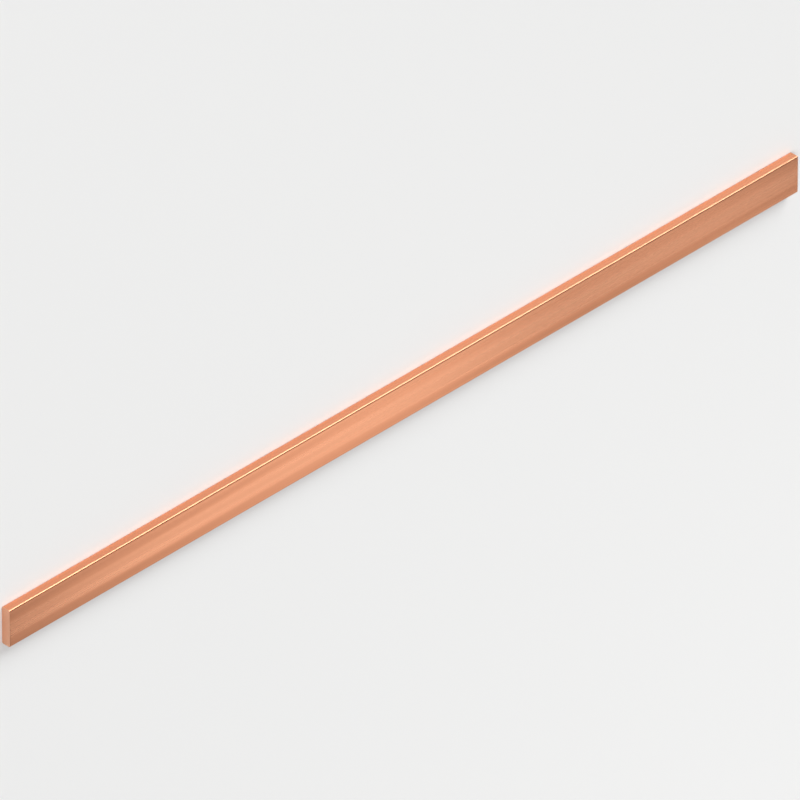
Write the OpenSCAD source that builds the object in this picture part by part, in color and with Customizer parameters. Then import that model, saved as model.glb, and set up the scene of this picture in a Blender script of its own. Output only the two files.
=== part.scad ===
// Flat copper busbar: one drawn bar of rectangular section with four rounded
// long edges, sawn square at both ends and deburred. It lies on a broad face,
// centred over the origin, with its length along X, its width along Y and its
// thickness along Z.

/* [Section] */
// Width of the bar across its broad faces
bar_width = 40; // [20:5:120]
// Thickness of the bar between its broad faces
bar_thickness = 10; // [5:0.5:20]
// Radius of the four long edges
edge_radius = 1.6; // [1:0.1:2.4]

/* [Length] */
// Length of the cut bar
bar_length = 1000; // [250:50:6000]
// Depth of the deburring chamfer round each sawn end
end_chamfer = 0.3; // [0.1:0.05:0.6]

/* [Hidden] */
// Facets round a long edge's full circle
EDGE_FACETS = 64;
COPPER = [0.83, 0.50, 0.35];

// Outline of the bar along its length, from its middle line out to
// half_height on one side, with the corner at each end chamfered
module half_outline(half_height) {
    half_length = bar_length / 2;
    polygon([
        [-half_length, 0],
        [half_length, 0],
        [half_length, half_height - end_chamfer],
        [half_length - end_chamfer, half_height],
        [-half_length + end_chamfer, half_height],
        [-half_length, half_height - end_chamfer],
    ]);
}

// The same outline on both sides of the middle line
module full_outline(height) {
    half_outline(height / 2);
    mirror([0, 1]) half_outline(height / 2);
}

// The stretch of the bar between its rounded edges that holds the two broad faces
module broad_slab() {
    rotate([90, 0, 0])
        linear_extrude(bar_width - 2 * edge_radius, center = true)
            full_outline(bar_thickness);
}

// The stretch of the bar between its rounded edges that holds the two narrow faces
module narrow_slab() {
    linear_extrude(bar_thickness - 2 * edge_radius, center = true)
        full_outline(bar_width);
}

// One rounded long edge, as a rod turned about its own axis
module edge_rod() {
    rotate([0, 90, 0])
        rotate_extrude($fn = EDGE_FACETS)
            rotate(-90)
                half_outline(edge_radius);
}

module busbar() {
    edge_y = bar_width / 2 - edge_radius;
    edge_z = bar_thickness / 2 - edge_radius;
    color(COPPER)
        translate([0, 0, bar_thickness / 2])
            union() {
                broad_slab();
                narrow_slab();
                for (side = [-1, 1], level = [-1, 1])
                    translate([0, side * edge_y, level * edge_z]) edge_rod();
            }
}

busbar();
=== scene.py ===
import bpy
import numpy as np
from mathutils import Matrix, Vector


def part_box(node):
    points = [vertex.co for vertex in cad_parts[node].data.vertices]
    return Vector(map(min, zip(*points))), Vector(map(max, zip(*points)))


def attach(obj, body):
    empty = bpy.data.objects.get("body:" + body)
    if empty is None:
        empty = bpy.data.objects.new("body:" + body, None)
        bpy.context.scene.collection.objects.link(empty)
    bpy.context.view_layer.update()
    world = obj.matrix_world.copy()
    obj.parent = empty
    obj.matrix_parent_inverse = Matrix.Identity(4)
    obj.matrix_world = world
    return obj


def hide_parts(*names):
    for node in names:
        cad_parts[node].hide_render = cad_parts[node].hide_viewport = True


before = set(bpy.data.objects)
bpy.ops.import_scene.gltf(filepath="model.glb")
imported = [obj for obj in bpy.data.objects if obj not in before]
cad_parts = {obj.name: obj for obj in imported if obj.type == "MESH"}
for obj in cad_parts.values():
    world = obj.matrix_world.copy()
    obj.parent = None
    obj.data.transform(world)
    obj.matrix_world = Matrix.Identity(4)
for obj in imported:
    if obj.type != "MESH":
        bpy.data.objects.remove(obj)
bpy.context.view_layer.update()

# Camera
# It looks down on the bar along the drawing's isometric direction, in which length, width and thickness
# lean alike. It is rolled so that the bar climbs from the lower left to the upper right, with its broad
# face to the front and a narrow edge above it. The long lens keeps parallel edges parallel.
bar_low, bar_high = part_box("busbar")
LENGTH, WIDTH, THICKNESS = bar_high - bar_low
TOWARD_CAMERA = Vector((1, -1, 1)).normalized()
PICTURE_UP = Vector((-1, -2, -1)).normalized()
PICTURE_RIGHT = PICTURE_UP.cross(TOWARD_CAMERA)
LENS_MM = 1200
SENSOR_MM = 36
PICTURE_PIXELS = 800
# The nearest and the farthest thing that the camera sees, in metres
SEEN_FROM, SEEN_TO = 1, 60
# Pixels across the drawn bar from end to end, and where the middle of its front face lies
DRAWN_SPAN = 796.1
DRAWN_MIDDLE = (408.6, 399.15)

# Length and thickness both run across the picture, each shortened by this share
shown_across = PICTURE_RIGHT.dot(Vector((-1, 0, 0)))
metres_per_pixel = shown_across * (LENGTH + THICKNESS) / DRAWN_SPAN
aim = Vector((0, 0, THICKNESS))
aim -= PICTURE_RIGHT * (DRAWN_MIDDLE[0] - PICTURE_PIXELS / 2) * metres_per_pixel
aim += PICTURE_UP * (DRAWN_MIDDLE[1] - PICTURE_PIXELS / 2) * metres_per_pixel

camera_data = bpy.data.cameras.new("camera")
camera_data.lens = LENS_MM
camera_data.sensor_width = SENSOR_MM
camera_data.clip_start = SEEN_FROM
camera_data.clip_end = SEEN_TO
camera = bpy.data.objects.new("camera", camera_data)
bpy.context.scene.collection.objects.link(camera)
distance = metres_per_pixel * PICTURE_PIXELS * LENS_MM / SENSOR_MM
turn = Matrix((PICTURE_RIGHT, PICTURE_UP, TOWARD_CAMERA)).transposed()
camera.matrix_world = Matrix.Translation(aim + TOWARD_CAMERA * distance) @ turn.to_4x4()
bpy.context.scene.camera = camera

# Busbar
# One flat bar of electrical copper, pulled cold through a die that leaves two broad faces, two narrow
# ones and four rounded long edges. It is sawn off square at both ends and deburred with a file, and it
# lies loose on a broad face.
EDGE_RADIUS = 0.0016
# The section's steps: how long along a flat, in metres, and how many in each half of a rounded corner
FLAT_STEP = 0.00014
ROUND_STEPS = 8
# Metres between the rings along the bar
STATION_STEP = 0.05


def heading(angle):
    """The unit direction at this angle from the Y axis, as (y, z): its cosine and its sine."""
    return np.stack([np.cos(angle), np.sin(angle)], -1)


def bar_outline(width, thickness, radius):
    """The bar's section as a closed ring round its middle line: its points and their outward directions,
    as (y, z) pairs, and how many steps a narrow and a broad side take.

    Each side runs from the middle of one rounded corner to the middle of the next. The outward direction
    leans from an eighth of a turn back to square, stays square along the flat, and leans an eighth of a
    turn on. A point lies on the side's inner line, one radius out along that direction.
    """
    sides, directions, counts = [], [], []
    for side in range(4):
        across, reach = (thickness, width) if side % 2 == 0 else (width, thickness)
        flat = across / 2 - radius
        knots = np.cumsum([0, ROUND_STEPS, round(2 * flat / FLAT_STEP), ROUND_STEPS])
        place = np.arange(knots[-1])
        slide = np.interp(place, knots, [-flat, -flat, flat, flat])
        lean = np.interp(place, knots, np.radians([-45, 0, 0, 45]))
        square = side * np.pi / 2
        inner_line = slide[:, None] * heading(square + np.pi / 2) + (reach / 2 - radius) * heading(square)
        outward = heading(square + lean)
        sides.append(inner_line + radius * outward)
        directions.append(outward)
        counts.append(knots[-1])
    return np.concatenate(sides), np.concatenate(directions), counts[0], counts[1]


ring, ring_out, narrow_steps, broad_steps = bar_outline(WIDTH, THICKNESS, EDGE_RADIUS)

# The file takes the sawn corners off all round, and leaves a narrow rounded land that is a little wider in
# one place than in another. LAND is its width at the widest, in metres. Each wave of its width has a height
# as a share of that, the times that it comes on the way round, and a start in radians.
LAND = 0.0003
LAND_MEAN = 0.86
LAND_WAVES = ((0.09, 3, 1), (0.05, 11, 0))
# How many rings shape the land, and how far from the end the last ring before it stands
LAND_ROWS = 7
LAST_RING = 3 * LAND


def land_width(turn):
    """How wide the land is at each share of the way round: LAND times its mean with the waves added."""
    waves = [height * np.sin(2 * np.pi * times * turn + start) for height, times, start in LAND_WAVES]
    return LAND * (LAND_MEAN + sum(waves))


def bar_rows(length):
    """The rings along the bar, each as its place along X and its inset from the outline, by row and point.

    Along the bar the inset is nothing, and its last ring stands a little before each filed land, which
    keeps the long faces flat up to there. Over the land the inset follows a quarter circle, from flush with
    the long faces to flush with the end.
    """
    width = land_width(np.arange(len(ring)) / len(ring))
    quarter = np.linspace(0, np.pi / 2, LAND_ROWS)[:, None]
    land_x = length / 2 - width * (1 - np.sin(quarter))
    land_inset = width * (1 - np.cos(quarter))
    share = np.linspace(-1, 1, round(length / STATION_STEP) + 1)[:, None]
    body_x = share * (length / 2 - LAST_RING) + 0 * width
    x = np.concatenate([-land_x[::-1], body_x, land_x])
    inset = np.concatenate([land_inset[::-1], 0 * body_x, land_inset])
    return x, inset


row_x, row_inset = bar_rows(LENGTH)
row_yz = ring[None] - row_inset[:, :, None] * ring_out[None]
rows, around = row_x.shape
skin_points = np.concatenate([row_x[:, :, None], row_yz], 2).reshape(-1, 3)

# A circular saw cuts the bar off square. Its teeth leave shallow ridges in arcs round the blade's axle,
# which stood above the bar's middle line and to one side of it, at this Y and Z.
BLADE_AXLE = (0.085, 0.125)
RIDGE_PITCH = 0.00072
RIDGE_DEPTH = 0.000022
# The ridges drift by so many radians of their wave, to and fro, over so many ridges
DRIFT = 1.1
DRIFT_RIDGES = 5.3
# Their strength swings this far to both sides of its mean, over so many ridges, from so many radians
FADE = 0.35
FADE_RIDGES = 8.7
FADE_START = 2
# Points nearer than this to the bar's very end lie on the sawn face
ON_FACE = 1e-7


def saw_ridges(y, z):
    """How far the sawn face lies below the bar's end at each point.

    It depends on the distance from the blade's axle alone: a wave of the ridge pitch, which a slower one
    hurries and holds back, and which a third one deepens and fades.
    """
    away = 2 * np.pi * np.hypot(y - BLADE_AXLE[0], z - BLADE_AXLE[1]) / RIDGE_PITCH
    wave = np.sin(away + DRIFT * np.sin(away / DRIFT_RIDGES))
    strength = 1 - FADE + FADE * np.sin(away / FADE_RIDGES + FADE_START)
    return RIDGE_DEPTH * (1 + wave * strength)


def rim_sides(rim):
    """What runs round an end, cut into its right, top, left and bottom side, each with both its corners."""
    closed = np.concatenate([rim, rim[:1]])
    corners = np.cumsum([0, narrow_steps, broad_steps, narrow_steps, broad_steps])
    return [closed[start : stop + 1] for start, stop in zip(corners[:-1], corners[1:])]


def end_grid(rim):
    """The points of an end, as a grid that spreads over the face from its rim.

    Each is the blend of the two sides across it, plus the blend of the two sides along it, less the blend
    of the four corners.
    """
    across = np.linspace(0, 1, broad_steps + 1)[:, None, None]
    upward = np.linspace(0, 1, narrow_steps + 1)[None, :, None]
    right, top, left, bottom = rim_sides(rim)
    top, left = top[::-1], left[::-1]
    blend = (1 - upward) * bottom[:, None] + upward * top[:, None]
    blend = blend + (1 - across) * left[None] + across * right[None]
    low_edge = (1 - across) * bottom[0] + across * bottom[-1]
    high_edge = (1 - across) * top[0] + across * top[-1]
    return blend - (1 - upward) * low_edge - upward * high_edge


def end_indices(first_in_row, first_inside):
    """The vertex at each place of an end's grid: the row's own round the rim, and new ones inside."""
    at = np.zeros((broad_steps + 1, narrow_steps + 1), int)
    inside = np.arange((broad_steps - 1) * (narrow_steps - 1)) + first_inside
    at[1:-1, 1:-1] = inside.reshape(broad_steps - 1, narrow_steps - 1)
    right, top, left, bottom = rim_sides(first_in_row + np.arange(around))
    at[-1, :] = right
    at[::-1, -1] = top
    at[0, ::-1] = left
    at[:, 0] = bottom
    return at


def cell_corners(grid):
    """What a grid holds at the four corners of each of its cells, in turn, with one row for each cell."""
    corners = np.stack([grid[:-1, :-1], grid[1:, :-1], grid[1:, 1:], grid[:-1, 1:]], 2)
    return corners.reshape(-1, *corners.shape[2:])


def cell_places(u, v):
    """The map places of each cell's four corners, from the places of the grid's columns and rows."""
    return cell_corners(np.stack(np.meshgrid(u, v, indexing="ij"), -1))


# The map lays the long faces out as one strip, with the filed lands at its ends, and the two sawn ends
# side by side above it.
STRIP_U = (0.01, 0.99)
STRIP_V = (0.01, 0.69)
LAND_SHARE = 0.02
ENDS_U = ((0.01, 0.49), (0.51, 0.99))
ENDS_V = (0.72, 0.99)

row_u = np.interp(
    np.arange(rows),
    [0, LAND_ROWS, rows - 1 - LAND_ROWS, rows - 1],
    [STRIP_U[0], STRIP_U[0] + LAND_SHARE, STRIP_U[1] - LAND_SHARE, STRIP_U[1]],
)
strip_at = np.arange(rows)[:, None] * around + np.arange(around + 1)[None] % around
points = [skin_points]
quads = [cell_corners(strip_at)[:, ::-1]]
places = [cell_places(row_u, np.linspace(*STRIP_V, around + 1))[:, ::-1]]

for side, row, end_u in ((-1, 0, ENDS_U[0]), (1, rows - 1, ENDS_U[1])):
    first_in_row = row * around
    y, z = np.moveaxis(end_grid(skin_points[first_in_row : first_in_row + around, 1:]), -1, 0)
    face = np.stack([0 * y + side * (LENGTH / 2), y, z], -1)
    end_at = end_indices(first_in_row, sum(len(part) for part in points))
    end_places = cell_places(np.linspace(*end_u, broad_steps + 1), np.linspace(*ENDS_V, narrow_steps + 1))
    points.append(face[1:-1, 1:-1].reshape(-1, 3))
    quads.append(cell_corners(end_at)[:, ::side])
    places.append(end_places[:, ::side])

points, quads, places = (np.concatenate(parts) for parts in (points, quads, places))
on_face = np.abs(points[:, 0]) > LENGTH / 2 - ON_FACE
points[on_face, 0] -= np.sign(points[on_face, 0]) * saw_ridges(points[on_face, 1], points[on_face, 2])
points[:, 2] += THICKNESS / 2

bar_mesh = bpy.data.meshes.new("copper_busbar")
bar_mesh.from_pydata(points.tolist(), [], quads.tolist())
bar_mesh.uv_layers.new(name="OFBake").uv.foreach_set("vector", places.ravel())
bar_mesh.shade_smooth()
bar = bpy.data.objects.new("copper_busbar", bar_mesh)
bpy.context.scene.collection.objects.link(bar)


class Wire:
    """An output of a shader node. Arithmetic on it adds the Math node that works the result out."""

    def __init__(self, shader, socket):
        self.shader = shader
        self.socket = socket

    def math(self, operation, *values):
        return self.shader.node("Math", {"operation": operation}, dict(enumerate(values)))

    def __add__(self, other):
        return self.math("ADD", self, other)

    def __sub__(self, other):
        return self.math("SUBTRACT", self, other)

    def __rsub__(self, other):
        return self.math("SUBTRACT", other, self)

    def __mul__(self, other):
        return self.math("MULTIPLY", self, other)

    __radd__ = __add__
    __rmul__ = __mul__

    def absolute(self):
        return self.math("ABSOLUTE", self)


class Shader:
    """The nodes of a material or a world, each made by one method."""

    def __init__(self, owner):
        owner.use_nodes = True
        self.tree = owner.node_tree
        self.tree.nodes.clear()

    def node(self, kind, settings=None, sockets=None, out=0):
        """Adds a node, sets it up, gives its sockets their values or links, and returns an output."""
        made = self.tree.nodes.new("ShaderNode" + kind)
        for name, value in (settings or {}).items():
            setattr(made, name, value)
        for name, value in (sockets or {}).items():
            if isinstance(value, Wire):
                self.tree.links.new(value.socket, made.inputs[name])
            else:
                made.inputs[name].default_value = value
        return Wire(self, made.outputs[out]) if made.outputs else made

    def vector(self, operation, *values, out=0):
        """What a Vector Math node makes of one or two vectors."""
        return self.node("VectorMath", {"operation": operation}, dict(enumerate(values)), out)

    def scaled(self, vector, factor):
        """The vector, made this many times as long."""
        return self.node("VectorMath", {"operation": "SCALE"}, {0: vector, "Scale": factor})

    def step(self, value, low, high):
        """0 below low and 1 above high, with a smooth change between them."""
        settings = {"interpolation_type": "SMOOTHSTEP"}
        return self.node("MapRange", settings, {"Value": value, "From Min": low, "From Max": high})

    def blend(self, share, first, second):
        """The first colour where share is 0, the second where it is 1. A Mix node has its two colours on
        sockets 6 and 7, and its blended colour is output 2."""
        return self.node("Mix", {"data_type": "RGBA"}, {0: share, 6: first, 7: second}, out=2)


# The bar is bright drawn copper, satin from the die's fine lines, which run the whole length. Some of the
# lines are mellower, and a faint bloom of oxide warms the metal in long clouds. Each kind of mark has a
# length and a width in metres, and a number of finer layers.
BRIGHT = (0.88, 0.405, 0.235, 1)
MELLOW = (0.74, 0.29, 0.15, 1)
BLOOM = (0.50, 0.18, 0.09, 1)
GRAZING_TINT = (1.0, 0.85, 0.75, 1)
HAIRLINES = (1.2, 0.00020, 2)
DIE_LINES = (3.0, 0.0010, 2)
BANDS = (4.0, 0.007, 1)
CLOUDS = (0.9, 0.018, 2)
# Noise runs from 0 to 1, round this mean
NOISE_MEAN = 0.5
# Each mark's share in the tone, the tones between which bright metal turns mellow, and how far it turns
HAIRLINE_TONE, DIE_LINE_TONE, BAND_TONE = 0.15, 0.40, 0.45
TONE_RANGE = (0.32, 0.68)
MELLOWEST = 0.6
# The clouds between which the bloom sets in, and how far it covers the metal
BLOOM_RANGE = (0.42, 0.80)
THICKEST_BLOOM = 0.34
DRAWN_ROUGHNESS = 0.24
BLOOM_ROUGHENS = 0.07
HAIRLINES_ROUGHEN = 0.06
# How steeply the marks tilt the surface across the bar, and the bands along it too
HAIRLINE_TILT, DIE_LINE_TILT, BAND_TILT = 0.20, 0.12, 0.08
BAND_PITCH = 0.06
ALONG = (1, 0, 0)


def drawn_noise(shader, at, length, width, layers):
    """Noise in cells of this length along the bar and this width across it: that of the place along the bar
    divided by the length, and of the places across it divided by the width."""
    cells = shader.vector("MULTIPLY", at, (1 / length, 1 / width, 1 / width))
    return shader.node("TexNoise", {}, {"Vector": cells, "Scale": 1, "Detail": layers})


def drawn_face(shader, at, normal):
    """The colour, the roughness and the tilt of the drawn faces.

    The marks' tones add up to how mellow the metal is, and the bloom lies over it. Bloom and hairlines add
    to the roughness. The tilt is each mark's noise round its mean, times its steepness.
    """
    hairlines = drawn_noise(shader, at, *HAIRLINES)
    die_lines = drawn_noise(shader, at, *DIE_LINES)
    bands = drawn_noise(shader, at, *BANDS)
    bloom = shader.step(drawn_noise(shader, at, *CLOUDS), *BLOOM_RANGE)

    tone = BAND_TONE * bands + DIE_LINE_TONE * die_lines + HAIRLINE_TONE * hairlines
    colour = shader.blend(shader.step(tone, *TONE_RANGE) * MELLOWEST, BRIGHT, MELLOW)
    colour = shader.blend(bloom * THICKEST_BLOOM, colour, BLOOM)
    roughness = DRAWN_ROUGHNESS + BLOOM_ROUGHENS * bloom + HAIRLINES_ROUGHEN * hairlines

    lean = (hairlines - NOISE_MEAN) * HAIRLINE_TILT + (die_lines - NOISE_MEAN) * DIE_LINE_TILT
    lean = lean + (bands - NOISE_MEAN) * BAND_TILT
    sideways = shader.scaled(shader.vector("CROSS_PRODUCT", ALONG, normal), lean)
    lengthways = shader.scaled(ALONG, (bands - NOISE_MEAN) * BAND_PITCH)
    return colour, roughness, shader.vector("ADD", sideways, lengthways)


# The sawn ends and the filed lands are fresh metal, paler and rougher, and the saw's teeth have scored the
# ends in fine arcs.
FRESH = (0.88, 0.48, 0.32, 1)
SCORED = (0.68, 0.33, 0.20, 1)
SCORE_WIDTH = 0.00022
# The noise between which a score is darker, and how far it is
SCORE_RANGE = (0.35, 0.65)
DARKEST_SCORE = 0.6
SAWN_ROUGHNESS = 0.34
SCORES_ROUGHEN = 0.12
SCORE_TILT = 0.45
# How far from the end fresh metal starts to turn into drawn metal, and has turned
FRESH_RANGE = (0.3 * LAND, 1.2 * LAND)


def sawn_face(shader, at):
    """The colour, the roughness and the tilt of the sawn ends, all from one noise of the distance from the
    blade's axle. Its tilt leans away from the axle."""
    axle = (0, BLADE_AXLE[0], BLADE_AXLE[1] + THICKNESS / 2)
    from_axle = shader.vector("SUBTRACT", shader.vector("MULTIPLY", at, (0, 1, 1)), axle)
    away = shader.vector("LENGTH", from_axle, out="Value") * (1 / SCORE_WIDTH)
    scores = shader.node("TexNoise", {"noise_dimensions": "1D"}, {"W": away, "Scale": 1})
    colour = shader.blend(shader.step(scores, *SCORE_RANGE) * DARKEST_SCORE, FRESH, SCORED)
    roughness = SAWN_ROUGHNESS + SCORES_ROUGHEN * scores
    outward = shader.vector("NORMALIZE", from_axle)
    return colour, roughness, shader.scaled(outward, (scores - NOISE_MEAN) * SCORE_TILT)


def copper_finish():
    """Drawn copper on the long faces, filed copper on the lands and sawn copper on the ends.

    The distance from the nearer end says how much of each shows. The tilts are added to the normal, which
    is then made one long again.
    """
    material = bpy.data.materials.new("drawn_copper")
    shader = Shader(material)
    at = shader.node("TexCoord", out="Object")
    normal = shader.node("NewGeometry", out="Normal")
    drawn_colour, drawn_roughness, drawn_tilt = drawn_face(shader, at, normal)
    sawn_colour, sawn_roughness, sawn_tilt = sawn_face(shader, at)

    along = shader.node("SeparateXYZ", {}, {0: at}, out="X")
    drawn = shader.step(LENGTH / 2 - along.absolute(), *FRESH_RANGE)
    sawn = 1 - drawn
    normal = shader.vector("ADD", normal, shader.scaled(drawn_tilt, drawn))
    normal = shader.vector("ADD", normal, shader.scaled(sawn_tilt, sawn))
    looks = {
        "Base Color": shader.blend(drawn, sawn_colour, drawn_colour),
        "Metallic": 1.0,
        "Roughness": drawn_roughness * drawn + sawn_roughness * sawn,
        "Specular Tint": GRAZING_TINT,
        "Normal": shader.vector("NORMALIZE", normal),
    }
    shader.node("OutputMaterial", {}, {"Surface": shader.node("BsdfPrincipled", {}, looks)})
    return material


bar_mesh.materials.append(copper_finish())
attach(bar, "root")
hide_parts("busbar")

# Floor
# A wide, level sheet of matt white card that the bar lies on. It sets off the copper and takes the bar's
# shadow, and isn't part of the bar.
FLOOR_HALF = 30.0
FLOOR_WHITE = (0.86, 0.86, 0.855, 1)
FLOOR_ROUGHNESS = 0.8


def floor_card():
    """Matt white card, the same all over."""
    material = bpy.data.materials.new("white_card")
    shader = Shader(material)
    surface = shader.node("BsdfPrincipled", {}, {"Base Color": FLOOR_WHITE, "Roughness": FLOOR_ROUGHNESS})
    shader.node("OutputMaterial", {}, {"Surface": surface})
    return material


corners = np.array([(-1, -1, 0), (1, -1, 0), (1, 1, 0), (-1, 1, 0)]) * FLOOR_HALF
floor_mesh = bpy.data.meshes.new("floor")
floor_mesh.from_pydata(corners.tolist(), [], [(0, 1, 2, 3)])
floor_mesh.materials.append(floor_card())
floor = bpy.data.objects.new("floor", floor_mesh)
bpy.context.scene.collection.objects.link(floor)

# Studio light
# A room with pale walls, a darker ceiling and one dim corner, which the broad face mirrors to the camera.
# A low soft key draws the rounded edge as a bright line and drops a soft shadow below the bar, a high fill
# lights the card evenly, and soft boxes hang where the broad face mirrors them.
WALL_GLOW = (0.80, 0.80, 0.80, 1)
CEILING_GLOW = (0.36, 0.36, 0.36, 1)
# The upward part of a direction where the walls begin to darken, and where the ceiling starts
WALLS_TO_CEILING = (0.05, 0.6)
# The way to the dim corner, how much of its glow is gone, and the cosines to it between which that happens
DIM_CORNER = Vector((-1, 1, 1)).normalized()
CORNER_DIMMING = 0.4
CORNER_RANGE = (0.7, 0.95)
# Where each sun comes from, its strength and the angle that it is spread over
SUNS = {
    "key": ((-0.36, -0.83, 0.42), 2.0, np.radians(30)),
    "fill": ((0.60, -0.25, 0.76), 1.1, np.radians(40)),
}
# Where each soft box hangs, the point on the bar that it faces, its width and height, and its glow. The
# near and far boxes are mirrored to the camera, the top one upwards, and the low and back ones behind.
NEAR_SPOT = Vector((0.2, 0, 0))
FAR_SPOT = Vector((-0.4, 0, 0))
BOX_AWAY = 1.7
SOFT_BOXES = {
    "near_box": (NEAR_SPOT + BOX_AWAY * DIM_CORNER, NEAR_SPOT, (0.5, 0.6), 1.15),
    "far_box": (FAR_SPOT + BOX_AWAY * DIM_CORNER, FAR_SPOT, (0.25, 0.6), 0.85),
    "top_box": ((-0.1, 0, 2.2), (-0.1, 0, 0), (0.7, 1.0), 0.8),
    "low_box": ((2.4, -2.4, 0.9), (0, 0, 0), (0.4, 0.8), 1.0),
    "back_box": ((0.62, -1.45, 1.30), (0.1, 0, 0), (0.55, 0.7), 0.9),
}


def aim_lamp(data, place, look_at):
    """Puts a lamp in the scene, facing a point, where the camera doesn't see it."""
    lamp = bpy.data.objects.new(data.name, data)
    lamp.location = place
    lamp.rotation_euler = (Vector(look_at) - Vector(place)).to_track_quat("-Z", "Y").to_euler()
    lamp.visible_camera = False
    bpy.context.scene.collection.objects.link(lamp)


def soft_sun(name, direction, strength, spread):
    """A lamp that comes from one direction all over the floor, spread over this angle."""
    data = bpy.data.lights.new(name, "SUN")
    data.energy = strength
    data.angle = spread
    aim_lamp(data, direction, (0, 0, 0))


def soft_box(name, place, look_at, size, glow):
    """A rectangular lamp of this width and height that glows as bright as glow times a white card."""
    data = bpy.data.lights.new(name, "AREA")
    data.shape = "RECTANGLE"
    data.size, data.size_y = size
    data.energy = glow * np.pi * size[0] * size[1]
    aim_lamp(data, place, look_at)


def pale_room():
    """A world that goes from the walls' glow to the ceiling's as a direction rises, times what the dimming
    leaves as it nears the dim corner."""
    room = bpy.data.worlds.new("pale_room")
    shader = Shader(room)
    direction = shader.node("TexCoord", out="Generated")
    height = shader.node("SeparateXYZ", {}, {0: direction}, out="Z")
    to_corner = shader.vector("DOT_PRODUCT", direction, DIM_CORNER, out="Value")
    glow = shader.blend(shader.step(height, *WALLS_TO_CEILING), WALL_GLOW, CEILING_GLOW)
    glow = shader.scaled(glow, 1 - CORNER_DIMMING * shader.step(to_corner, *CORNER_RANGE))
    shader.node("OutputWorld", {}, {"Surface": shader.node("Background", {}, {"Color": glow})})
    return room


for name, sun in SUNS.items():
    soft_sun(name, *sun)
for name, box in SOFT_BOXES.items():
    soft_box(name, *box)
bpy.context.scene.world = pale_room()
bpy.context.scene.view_settings.view_transform = "Standard"
